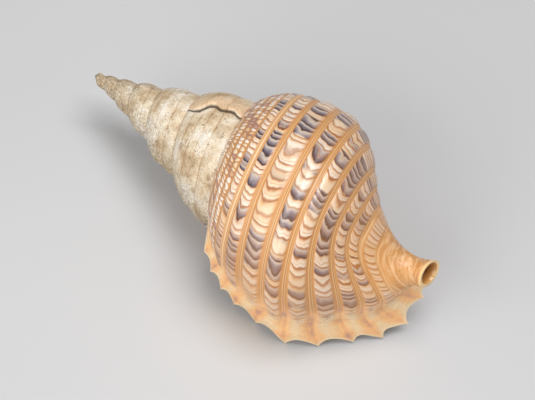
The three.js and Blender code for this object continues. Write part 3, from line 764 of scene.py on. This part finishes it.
def crescents(tree, way, band, across, side, spot):
    """Crescents stacked along each rib. Their phase is the way along the rib, bowed towards the lip in the
    rib's middle and bent by noise, over a spacing that differs from rib to rib. Each is cream or white, or
    purple fading upwards, with an orange-brown lower edge. Returns colour, place in a crescent and length."""
    node = partial(put, tree)
    rib = node(MATH, (band,), operation="FLOOR")
    rib_share = node(MATH, (rib, BANDS), operation="DIVIDE")

    # Crescents sit closer together by the lip
    fading = node(MATH, (way, -1 / LIP_CROWDING_LENGTH), operation="MULTIPLY")
    fading = node(MATH, (fading,), operation="EXPONENT")
    length = node(MATH, (fading, -LIP_CROWDING, way), operation="MULTIPLY_ADD")

    # Bow towards the lip, then slow wandering, kinks that differ across the rib, and a ragged edge
    depth = node(RAMP, [rib_share], stops=BOW_BY_RIB)
    arch = node(MATH, (1.0, node(MATH, (side, 2.2), operation="POWER")), operation="SUBTRACT")
    arch = node(MATH, (arch, depth), operation="MULTIPLY")
    length = node(MATH, (arch, CRESCENT_BOW, length), operation="MULTIPLY_ADD")
    slow_at = node(JOIN, (node(MATH, (way, 1 / WANDER_LENGTH), operation="MULTIPLY"),
                          node(MATH, (rib, 3.7), operation="MULTIPLY")))
    wander = node(NOISE, {"Vector": slow_at, "Scale": 1.0, "Detail": 1.0}, noise_dimensions="2D")
    wander = node(MATH, (wander, -0.5), operation="ADD")
    length = node(MATH, (wander, WANDER_DEPTH, length), operation="MULTIPLY_ADD")
    kink_at = node(JOIN, (node(MATH, (way, 1 / KINK_LENGTH), operation="MULTIPLY"),
                          node(MATH, (band, 2.2), operation="MULTIPLY")))
    kink = node(NOISE, {"Vector": kink_at, "Scale": 1.0, "Detail": 1.0}, noise_dimensions="2D")
    kink = node(MATH, (node(MATH, (kink, -0.5), operation="ADD"), arch), operation="MULTIPLY")
    length = node(MATH, (kink, KINK_DEPTH, length), operation="MULTIPLY_ADD")
    ragged = node(NOISE, {"Vector": spot, "Scale": repeats(RAGGED_SIZE), "Detail": 2.0})
    ragged = node(MATH, (ragged, -0.5), operation="ADD")
    length = node(MATH, (ragged, RAGGED_DEPTH, length), operation="MULTIPLY_ADD")

    spacing = node(RAMP, [rib_share], stops=SPACING_BY_RIB)
    spacing = node(MATH, (spacing, CRESCENT_SPACING), operation="MULTIPLY")
    phase = node(MATH, (length, spacing), operation="DIVIDE")
    phase = node(MATH, (rib, 7.31, phase), operation="MULTIPLY_ADD")
    cell = node(MATH, (phase,), operation="FLOOR")
    within = node(MATH, (phase,), operation="FRACT")
    chance = node(RANDOM, [node(JOIN, (cell, rib))], noise_dimensions="2D")
    other = node(SPLIT, [chance.node.outputs[1]])
    third = other.node.outputs[1]

    # Purple crescents come in groups along the rib
    group_at = node(JOIN, (node(MATH, (way, 1 / GROUP_LENGTH), operation="MULTIPLY"),
                           node(MATH, (rib, 0.62), operation="MULTIPLY")))
    group = node(NOISE, {"Vector": group_at, "Scale": 1.0, "Detail": 0.0}, noise_dimensions="2D")
    own_chance = node(MATH, (chance, 0.75), operation="MULTIPLY")
    dark = node(MATH, (group, 1.6, own_chance), operation="MULTIPLY_ADD")
    dark = node(RANGE, (dark, 1.17, 1.30), interpolation_type="SMOOTHSTEP")
    dark = node(MATH, (dark, node(RANGE, (band, 9.9, 10.1, 1.0, 0.0))), operation="MULTIPLY")

    pale = node(MIX, {0: other, 6: "#f3e6d5", 7: "#efd0a8"}, **OF_COLOURS)
    glow = node(RANGE, (within, 0.5, 1.0, 0.0, 0.62), interpolation_type="SMOOTHSTEP")
    pale = node(MIX, {0: glow, 6: pale, 7: "#d99a5c"}, **OF_COLOURS)
    purple = node(RAMP, [within], stops=PURPLE_STOPS)
    base = node(MIX, {0: dark, 6: pale, 7: purple}, **OF_COLOURS)
    scuff = node(NOISE, {"Vector": spot, "Scale": repeats(SCUFF_SIZE), "Detail": 4.0, "Roughness": 0.65})
    scuff = node(RANGE, (scuff, 0.56, 0.68, 0.0, 0.45), interpolation_type="SMOOTHSTEP")
    base = node(MIX, {0: scuff, 6: base, 7: "#aaa09e"}, **OF_COLOURS)

    # A fine inner arc on about half of them, then the lower edge
    inner = node(RAMP, [within], stops=((0.44, 0.0), (0.52, 0.75), (0.60, 0.0)))
    inner = node(MATH, (inner, node(RANGE, (third, 0.45, 0.55))), operation="MULTIPLY")
    base = node(MIX, {0: inner, 6: base, 7: "#cf8c50"}, **OF_COLOURS)
    line = node(RAMP, [within], stops=((0.0, 1.0), (0.15, 0.95), (0.29, 0.0), (0.85, 0.0), (1.0, 0.75)))
    line = node(MATH, (line, node(RANGE, (third, 0.0, 1.0, 0.6, 1.0))), operation="MULTIPLY")
    ink = node(MIX, {0: dark, 6: "#a1571f", 7: "#493536"}, **OF_COLOURS)
    base = node(MIX, {0: line, 6: base, 7: ink}, **OF_COLOURS)

    # The far flank of each rib is more orange
    flank = node(RANGE, (across, 0.68, 0.92, 0.0, 0.7), interpolation_type="SMOOTHSTEP")
    base = node(MIX, {0: flank, 6: base, 7: "#cf8f52"}, **OF_COLOURS)
    return base, within, length


def beaded_cords(tree, way, band, spot):
    """Rows of cords below the seam, each with its own row of small pale beads between tan and brown dashes.
    Returns colour and the distance from a bead's middle, as a sum of powers across and along the cord."""
    node = partial(put, tree)
    along = node(MATH, (band, CORDS_PER_BAND), operation="MULTIPLY")
    row = node(MATH, (along,), operation="FLOOR")
    edge = node(MATH, (node(MATH, (along,), operation="FRACT"), 2.0, -1.0), operation="MULTIPLY_ADD")
    edge = node(MATH, (edge,), operation="ABSOLUTE")
    waver = node(NOISE, {"Vector": spot, "Scale": repeats(BEAD_WAVER), "Detail": 1.0})
    bead = node(MATH, (way, 1 / BEAD_SPACING), operation="MULTIPLY")
    bead = node(MATH, (waver, 2.0, bead), operation="MULTIPLY_ADD")
    bead = node(MATH, (row, 0.37, bead), operation="MULTIPLY_ADD")
    number = node(MATH, (bead,), operation="FLOOR")
    chance = node(RANDOM, [node(JOIN, (number, row))], noise_dimensions="2D")
    ends = node(MATH, (node(MATH, (bead,), operation="FRACT"), 2.0, -1.0), operation="MULTIPLY_ADD")
    ends = node(MATH, (node(MATH, (ends,), operation="ABSOLUTE"), 2.2), operation="POWER")
    size = node(MATH, (node(MATH, (edge, 1.8), operation="POWER"), ends), operation="ADD")
    pale = node(RAMP, [chance], stops=(
        (0.0, "#c08e80"), (0.2, "#dfae7c"), (0.42, "#f0d4b0"), (0.65, "#f4e9dd")))
    dash = node(RAMP, [chance], stops=((0.0, "#8a6d74"), (0.3, "#bb8458"), (1.0, "#dca468")))
    mask = node(RANGE, (size, 0.3, 0.75, 1.0, 0.0), interpolation_type="SMOOTHSTEP")
    base = node(MIX, {0: mask, 6: dash, 7: pale}, **OF_COLOURS)
    between = node(RANGE, (edge, 0.7, 0.97, 0.0, 0.8), interpolation_type="SMOOTHSTEP")
    return node(MIX, {0: between, 6: base, 7: "#c28a58"}, **OF_COLOURS), size


def brim(tree, turn, inward, spot):
    """The turned-out lip: orange cream over the ribs, soft lilac brown in the grooves, and a pale edge that is
    partly its own cream and partly a painted highlight on the rim.
    """
    node = partial(put, tree)
    blotch = node(NOISE, {"Vector": spot, "Scale": repeats(BRIM_BLOTCH), "Detail": 3.0})
    blotch = node(MATH, (blotch, 0.95), operation="MULTIPLY")
    tone = node(MATH, (inward, 0.5, blotch), operation="MULTIPLY_ADD")
    base = node(RAMP, [tone], stops=(
        (0.36, "#cf9a80"), (0.48, "#ebb07e"), (0.6, "#ffc080"), (0.76, "#ffcc90"), (0.95, "#ffdcac")))
    # Pale edge: partly the lip's own cream, partly a painted highlight where the sharp rim would catch the
    # light
    edge = node(RANGE, (turn, 0.0, 0.010, 0.8, 0.0), interpolation_type="SMOOTHSTEP")
    return node(MIX, {0: edge, 6: base, 7: "#ffe6ba"}, **OF_COLOURS)


def chalky_spire(tree, turn, inward, spot):
    """The worn spire: bleached cream with brown stains and tan spiral lines, and small pits; painted shade
    makes it grey-brown low down, near the table, and dark brown in the pits.
    The old lip across it is orange cream, with painted shade darkening the thin crack in front."""
    node = partial(put, tree)
    patch = node(NOISE, {"Vector": spot, "Scale": repeats(CHALK_PATCH), "Detail": 5.0, "Roughness": 0.62})
    grain = node(NOISE, {"Vector": spot, "Scale": repeats(CHALK_GRAIN), "Detail": 2.0, "Roughness": 0.7})
    base = node(RAMP, [patch], stops=(
        (0.32, "#bd9f7b"), (0.42, "#dac2a0"), (0.52, "#ecdcc2"), (0.64, "#f8efe0")))
    spiral = node(RAMP, [inward], stops=((0.0, 0.9), (0.05, 0.75), (0.13, 0.1), (0.3, 0.0)))
    spiral = node(MATH, (spiral, node(RANGE, (patch, 0.35, 0.6, 0.95, 0.35))), operation="MULTIPLY")
    base = node(MIX, {0: spiral, 6: base, 7: "#a8794a"}, **OF_COLOURS)
    stain = node(NOISE, {"Vector": spot, "Scale": repeats(STAIN_SIZE), "Detail": 4.0, "Roughness": 0.7})
    base = node(MIX, {0: node(RANGE, (stain, 0.56, 0.70, 0.0, 0.7)), 6: base, 7: "#937450"}, **OF_COLOURS)
    speckle = node(RANGE, (grain, 0.50, 0.66, 0.0, 0.5))
    base = node(MIX, {0: speckle, 6: base, 7: "#bda688"}, **OF_COLOURS)

    # Painted shade: grey-brown low on the spire near the table, broken up by the grain, and dark brown in the
    # pits
    height = node(SPLIT, [spot]).node.outputs[2]
    low = node(RANGE, (height, LOW_SHADE_TOP * MM, LOW_SHADE_FULL * MM), interpolation_type="SMOOTHSTEP")
    low_shade = node(MATH, (low, node(RANGE, (grain, 0.40, 0.58, 0.15, 0.85))), operation="MULTIPLY")
    base = node(MIX, {0: low_shade, 6: base, 7: "#75664c"}, **OF_COLOURS)
    # Painted shade: dark brown in the pits, where the chalk's bump sinks lowest
    pit_shade = node(RANGE, (grain, 0.37, 0.31, 0.0, 0.85))
    base = node(MIX, {0: pit_shade, 6: base, 7: "#5d4c3a"}, **OF_COLOURS)

    # The old lip, from its step back, and painted shade in the crack in front of it
    flange = node(MATH, (node(RANGE, (turn, OLD_LIP, OLD_LIP + 0.004)),
                         node(RANGE, (turn, OLD_LIP + 0.03, OLD_LIP + 0.09, 1.0, 0.0))), operation="MULTIPLY")
    flange = node(MATH, (flange, node(RANGE, (patch, 0.3, 0.7, 0.25, 0.75))), operation="MULTIPLY")
    base = node(MIX, {0: flange, 6: base, 7: "#edbf8c"}, **OF_COLOURS)
    # Painted shade: near-black brown in the narrow crack under the old lip's edge
    crack = node(MATH, (node(RANGE, (turn, OLD_LIP - 0.005, OLD_LIP - 0.0025)),
                        node(RANGE, (turn, OLD_LIP, OLD_LIP + 0.002, 1.0, 0.0))), operation="MULTIPLY")
    crack = node(MATH, (crack, 0.9), operation="MULTIPLY")
    base = node(MIX, {0: crack, 6: base, 7: "#3d2c1d"}, **OF_COLOURS)
    return base, patch, grain, stain


def patterned_shell(tree):
    """Colour, roughness and bump of the outer face: stacked crescents on the ribs, beaded cords at the seam,
    plain orange by the canal, a cream and lilac brim, and a chalky worn spire."""
    node = partial(put, tree)
    coil = node(SPLIT, [node(MAP, uv_map="Coil")])
    way, band = coil, coil.node.outputs[1]
    turn = node(SPLIT, [node(MAP, uv_map="Turns")])
    spot = node(COORD, out=3)
    across = node(MATH, (band,), operation="FRACT")
    side = node(MATH, (node(MATH, (across, 2.0, -1.0), operation="MULTIPLY_ADD"),), operation="ABSOLUTE")
    inward = node(MATH, (1.0, side), operation="SUBTRACT")

    # The newest growth by the lip, and the ribs nearer the canal, are more orange
    cells, within, length = crescents(tree, way, band, across, side, spot)
    warm = node(MATH, (node(RANGE, (turn, 0.28, 0.08, 0.0, 0.5), interpolation_type="SMOOTHSTEP"),
                       node(RANGE, (band, 4.0, 10.0, 0.0, 0.42))), operation="MAXIMUM")
    cells = node(MIX, {0: warm, 6: cells, 7: "#d08f4b"}, **OF_COLOURS)

    # Grooves: tan with a pale thread on each side, broader near the lip
    broader = node(MATH, (inward, node(RANGE, (turn, 0.05, 0.30, 0.12, 0.0))), operation="SUBTRACT")
    on_rib = node(RANGE, (broader, 0.22, 0.36), interpolation_type="SMOOTHSTEP")
    body = node(MIX, {0: on_rib, 6: node(RAMP, [inward], stops=GROOVE_STOPS), 7: cells}, **OF_COLOURS)

    # Beaded cords below the seam, and the narrow plain cord beside the first broad rib
    cords, bead_size = beaded_cords(tree, way, band, spot)
    body = node(MIX, {0: node(RANGE, (band, CORDS_TO - 0.03, CORDS_TO)), 6: cords, 7: body}, **OF_COLOURS)
    plain_cord = node(MATH, (node(RANGE, (band, 2.62, 2.68)), node(RANGE, (band, 3.0, 3.03, 1.0, 0.0))),
                      operation="MULTIPLY")
    body = node(MIX, {0: plain_cord, 6: body, 7: node(RAMP, [across], stops=PLAIN_CORD_STOPS)}, **OF_COLOURS)

    # Plain orange towards the canal, streaked along the coil, with a pale ring at its end
    streak_at = node(JOIN, (node(MATH, (way, 1 / STREAK_LENGTH), operation="MULTIPLY"),
                            node(MATH, (band, 7.0), operation="MULTIPLY")))
    streak = node(NOISE, {"Vector": streak_at, "Scale": 1.0, "Detail": 3.0}, noise_dimensions="2D")
    orange = node(RAMP, [streak], stops=((0.3, "#cb8c4e"), (0.5, "#dba268"), (0.68, "#ebbd8a")))
    last_cells = node(MATH, (node(RANGE, (inward, 0.35, 0.6)), node(RANGE, (band, 10.9, 11.0, 1.0, 0.0))),
                      operation="MULTIPLY")
    by_canal = node(RANGE, (band, CANAL_FROM - 0.05, CANAL_FROM + 0.05))
    by_canal = node(MATH, (by_canal, last_cells), operation="SUBTRACT", use_clamp=True)
    body = node(MIX, {0: by_canal, 6: body, 7: orange}, **OF_COLOURS)
    ring = node(RANGE, (band, RING_FROM, RING_FROM + 0.12), interpolation_type="SMOOTHSTEP")
    body = node(MIX, {0: ring, 6: body, 7: "#ffd79a"}, **OF_COLOURS)

    # Brim, reaching further up in the grooves than on the ribs
    brim_turn = node(MATH, (turn, node(RANGE, (inward, 0.0, 1.0, 0.03, 0.0))), operation="SUBTRACT")
    on_brim = node(RANGE, (brim_turn, 0.062, 0.10, 1.0, 0.0), interpolation_type="SMOOTHSTEP")
    on_brim = node(MATH, (on_brim, node(RANGE, (band, 12.3, 12.7, 1.0, 0.0))), operation="MULTIPLY")
    body = node(MIX, {0: on_brim, 6: body, 7: brim(tree, turn, inward, spot)}, **OF_COLOURS)

    chalk, patch, grain, stain = chalky_spire(tree, turn, inward, spot)
    worn = node(MATH, (turn, node(RANGE, (patch, 0.3, 0.7, -0.05, 0.05))), operation="ADD")
    worn = node(RANGE, (worn, 0.965, 1.01), interpolation_type="SMOOTHSTEP")
    base = node(MIX, {0: worn, 6: body, 7: chalk}, **OF_COLOURS)

    # Roughness: glazed on the last whorl, duller in its grooves, chalk on the spire
    gloss = node(RANGE, (on_rib, 0.0, 1.0, 0.38, 0.22))
    gloss = node(MATH, (gloss, node(RANGE, (stain, 0.3, 0.7, -0.06, 0.10))), operation="ADD")
    rough = node(MIX, {0: worn, 2: gloss, 3: 0.82}, data_type="FLOAT")

    # Bump: growth lines, crescent steps, beads, and pits and flakes where the surface is chalky
    growth_at = node(JOIN, (node(MATH, (length, 0.55), operation="MULTIPLY"),
                            node(MATH, (band, 2.0), operation="MULTIPLY")))
    growth = node(NOISE, {"Vector": growth_at, "Scale": 1.0, "Detail": 2.0}, noise_dimensions="2D")
    growth = node(MATH, (growth, node(MATH, (within, -0.5), operation="MULTIPLY")), operation="ADD")
    growth = node(MATH, (growth, on_rib), operation="MULTIPLY")
    on_cords = node(RANGE, (band, CORDS_TO - 0.05, CORDS_TO, 1.0, 0.0))
    beading = node(MATH, (node(RANGE, (bead_size, 0.0, 0.9, 1.3, 0.0)), on_cords), operation="MULTIPLY")
    glazed = node(MATH, (growth, beading), operation="ADD")
    flakes = node(MATH, (patch, 8.0), operation="MULTIPLY")
    chalk_relief = node(MATH, (grain, 5.5, flakes), operation="MULTIPLY_ADD")
    relief = node(MIX, {0: worn, 2: glazed, 3: chalk_relief}, data_type="FLOAT")
    return base, rough, node(BUMP, {"Strength": 0.6, "Distance": 0.6 * MM, "Height": relief})


def lip_edge(tree):
    """Colour, roughness and bump of the cut edge: pale cream on the lip, orange by the column."""
    node = partial(put, tree)
    side = node(SPLIT, [node(MAP, uv_map="Turns")])
    blotch = node(NOISE, {"Vector": node(COORD, out=3), "Scale": repeats(EDGE_BLOTCH), "Detail": 3.0})
    cream = node(RAMP, [blotch], stops=((0.35, "#e3bd82"), (0.6, "#f4e3c0")))
    orange = node(RAMP, [blotch], stops=((0.35, "#c27f4c"), (0.6, "#dc9c66")))
    base = node(MIX, {0: node(RANGE, (side, 0.4, 0.7)), 6: cream, 7: orange}, **OF_COLOURS)
    rough = node(RANGE, (blotch, 0.3, 0.7, 0.26, 0.4))
    return base, rough, node(BUMP, {"Strength": 0.3, "Distance": 0.3 * MM, "Height": blotch})


def porcelain_inside(tree):
    """Colour, roughness and bump of the inner face: orange porcelain paling inwards, brown patches with white
    teeth inside the lip, soft pale wrinkles on a brown column, and the canal's orange-brown lining."""
    node = partial(put, tree)
    band = node(SPLIT, [node(MAP, uv_map="Coil")]).node.outputs[1]
    turn = node(SPLIT, [node(MAP, uv_map="Turns")])
    kind = turn.node.outputs[1]
    spot = node(COORD, out=3)
    patch = node(NOISE, {"Vector": spot, "Scale": repeats(PORCELAIN_PATCH), "Detail": 3.0})
    deep = node(MATH, (turn, node(RANGE, (patch, 0.3, 0.7, -0.06, 0.06))), operation="ADD")
    wall = node(RAMP, [deep], stops=(
        (0.0, "#efc58c"), (0.07, "#e39a58"), (0.2, "#e8ae78"), (0.42, "#f3dcc2"), (0.8, "#f6ede2")))

    # Brown patches at the grooves, with a pair of white teeth on each
    near = node(MATH, (band, node(MATH, (band,), operation="ROUND")), operation="SUBTRACT")
    near = node(MATH, (near,), operation="ABSOLUTE")
    brown = node(RANGE, (near, 0.34, 0.26, 0.0, 1.0))
    for limit in ((turn, 0.07, 0.045, 0.0, 1.0), (turn, -0.004, 0.006), (band, 2.4, 2.7)):
        brown = node(MATH, (brown, node(RANGE, limit)), operation="MULTIPLY")
    wall = node(MIX, {0: brown, 6: wall, 7: "#5b3423"}, **OF_COLOURS)
    tooth = node(MATH, (node(MATH, (near, TOOTH_APART), operation="SUBTRACT"),), operation="ABSOLUTE")
    tooth = node(MATH, (node(RANGE, (tooth, 0.085, 0.055, 0.0, 1.0)), brown), operation="MULTIPLY")
    wall = node(MIX, {0: tooth, 6: wall, 7: "#f8f0e2"}, **OF_COLOURS)

    # Column: pale wrinkles about 4 mm apart across brown, faded in patches and deep inside
    waver = node(NOISE, {"Vector": spot, "Scale": repeats(WRINKLE_WAVER), "Detail": 1.0})
    wrinkle = node(MATH, (waver, 5.0, node(MATH, (band, 1.55), operation="MULTIPLY")), operation="MULTIPLY_ADD")
    wrinkle = node(MATH, (wrinkle,), operation="SINE")
    column = node(RAMP, [node(RANGE, (wrinkle, -1.0, 1.0))], stops=(
        (0.0, "#5b3624"), (0.4, "#7a4c31"), (0.7, "#c79c70"), (0.95, "#ead2ac")))
    fading = node(RANGE, (patch, 0.42, 0.66, 0.0, 0.6), interpolation_type="SMOOTHSTEP")
    column = node(MIX, {0: fading, 6: column, 7: "#d9a069"}, **OF_COLOURS)
    inner = node(RANGE, (deep, 0.08, 0.26), interpolation_type="SMOOTHSTEP")
    column = node(MIX, {0: inner, 6: column, 7: wall}, **OF_COLOURS)
    on_column = node(RANGE, (kind, 5.0, 6.0))
    base = node(MIX, {0: on_column, 6: wall, 7: column}, **OF_COLOURS)

    # Lining of the canal, like the mouth at its inner end, darker half way and pale at its open end
    outwards = node(RANGE, (node(SPLIT, [spot]), 0.140, 0.181))
    lining = node(RAMP, [outwards], stops=(
        (0.0, "#dc9658"), (0.25, "#bd773c"), (0.6, "#8e572a"), (0.84, "#bd8244"), (1.0, "#f0c27a")))
    base = node(MIX, {0: node(RANGE, (turn, -0.4, -0.6)), 6: base, 7: lining}, **OF_COLOURS)

    rough = node(RANGE, (patch, 0.3, 0.7, 0.16, 0.26))
    ridge = node(MATH, (wrinkle, on_column), operation="MULTIPLY")
    ridge = node(MATH, (ridge, node(RANGE, (deep, 0.12, 0.3, 1.0, 0.0))), operation="MULTIPLY")
    relief = node(MATH, (patch, 0.6, ridge), operation="MULTIPLY_ADD")
    return base, rough, node(BUMP, {"Strength": 0.5, "Distance": 0.6 * MM, "Height": relief})


def studio_floor(tree):
    """Plain pale backdrop paper: almost one tone, matt and flat."""
    node = partial(put, tree)
    tone = node(NOISE, {"Vector": node(COORD, out=3), "Scale": repeats(PAPER_TONE), "Detail": 1.0})
    base = node(RAMP, [tone], stops=((0.3, "#c9c9cb"), (0.7, "#cccccd")))
    rough = node(RANGE, (tone, 0.0, 1.0, 0.85, 0.9))
    return base, rough, node(BUMP, {"Strength": 0.0, "Distance": 0.1 * MM, "Height": tone})


# Camera
azimuth, elevation, roll = np.radians((CAMERA_AZIMUTH, CAMERA_ELEVATION, CAMERA_ROLL))
back = np.array([np.sin(azimuth) * np.cos(elevation), -np.cos(azimuth) * np.cos(elevation),
                 np.sin(elevation)])
level = np.array([np.cos(azimuth), np.sin(azimuth), 0])
upright = np.cross(back, level)
right = np.cos(roll) * level + np.sin(roll) * upright
upward = np.cos(roll) * upright - np.sin(roll) * level
camera_data = bpy.data.cameras.new("camera")
camera_data.lens = CAMERA_LENS
camera_data.sensor_width = CAMERA_SENSOR
camera_data.sensor_fit = "HORIZONTAL"
camera = bpy.data.objects.new("camera", camera_data)
where = np.array(CAMERA_TARGET) + CAMERA_DISTANCE * back
turned = Matrix(np.column_stack([right, upward, back]).tolist()).to_4x4()
camera.matrix_world = Matrix.Translation(Vector(where)) @ turned
bpy.context.collection.objects.link(camera)
bpy.context.scene.camera = camera

# Sea snail shell, grown in glazed layers of aragonite: a soft gloss over crisp stacked crescents
outside = new_material("glazed_aragonite_shell", patterned_shell, IOR=1.56)
# The lip's thin edge, the newest growth: pale and even
rim = new_material("fresh_shell_lip", lip_edge, IOR=1.53)
# Inner face, laid down as smooth porcelain: a wet-looking gloss
inside = new_material(
    "porcelain_shell_inside", porcelain_inside, IOR=1.53, Coat_Weight=0.25, Coat_Roughness=0.12)
# Uncoated backdrop paper: pale and matt, so that only the shell's shadow shows on it
paper = new_material("matt_backdrop_paper", studio_floor)
materials = [outside, rim, inside]

# The shell: the outer skin with the cavity and the canal's bore cut out of it
shell = mesh_object("shell", *outer_skin(), materials)
cutters = [mesh_object("cavity", *hollow(), materials), mesh_object("bore", *canal_bore(), materials)]
for cutter in cutters:
    cut = shell.modifiers.new(cutter.name, "BOOLEAN")
    cut.operation = "DIFFERENCE"
    cut.object = cutter
    cut.solver = "MANIFOLD"
graph = bpy.context.evaluated_depsgraph_get()
finished = bpy.data.meshes.new_from_object(shell.evaluated_get(graph), depsgraph=graph)
shell.modifiers.clear()
shell.data = finished
for cutter in cutters:
    bpy.data.objects.remove(cutter)
print("shell triangles", len(finished.polygons), "maps", [layer.name for layer in finished.uv_layers])
finished.set_sharp_from_angle(angle=np.radians(SHARP_ANGLE))
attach(shell, "root")
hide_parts("triton_shell")

# Floor: a sheet of pale paper in metres, at the height of the shell's lowest point
FLOOR_HALF = 3.0
ground = float(cad_box[0][2])
corners = [(x * FLOOR_HALF, y * FLOOR_HALF, ground) for x, y in ((-1, -1), (1, -1), (1, 1), (-1, 1))]
floor_mesh = bpy.data.meshes.new("floor")
floor_mesh.from_pydata(corners, [], [(0, 1, 2, 3)])
floor_mesh.materials.append(paper)
floor = bpy.data.objects.new("floor", floor_mesh)
bpy.context.collection.objects.link(floor)

# One broad soft light above and a wider one from the camera's side: name, watts, size in metres, place, aim
LIGHTS = (
    ("key", 16.5, 0.8, (0.28, 0.12, 1.55), (0, 0, 0.05)),
    ("fill", 20.0, 1.6, (-0.25, -1.5, 0.9), (0, 0, 0.05)),
)
for name, watts, size, stand, aim in LIGHTS:
    lamp = bpy.data.lights.new(name, "AREA")
    lamp.energy = watts
    lamp.size = size
    holder = bpy.data.objects.new(name, lamp)
    holder.location = stand
    holder.rotation_euler = (Vector(aim) - Vector(stand)).to_track_quat("-Z", "Y").to_euler()
    bpy.context.collection.objects.link(holder)

# Even pale light from all round
WORLD_COLOUR, WORLD_STRENGTH = "#f6f5f2", 0.30
world = bpy.data.worlds.new("studio")
world.use_nodes = True
background = world.node_tree.nodes["Background"]
background.inputs["Color"].default_value = colour(WORLD_COLOUR)
background.inputs["Strength"].default_value = WORLD_STRENGTH
bpy.context.scene.world = world

# Colours shown as they are, as a camera's plain picture shows them
bpy.context.scene.view_settings.view_transform = "Standard"
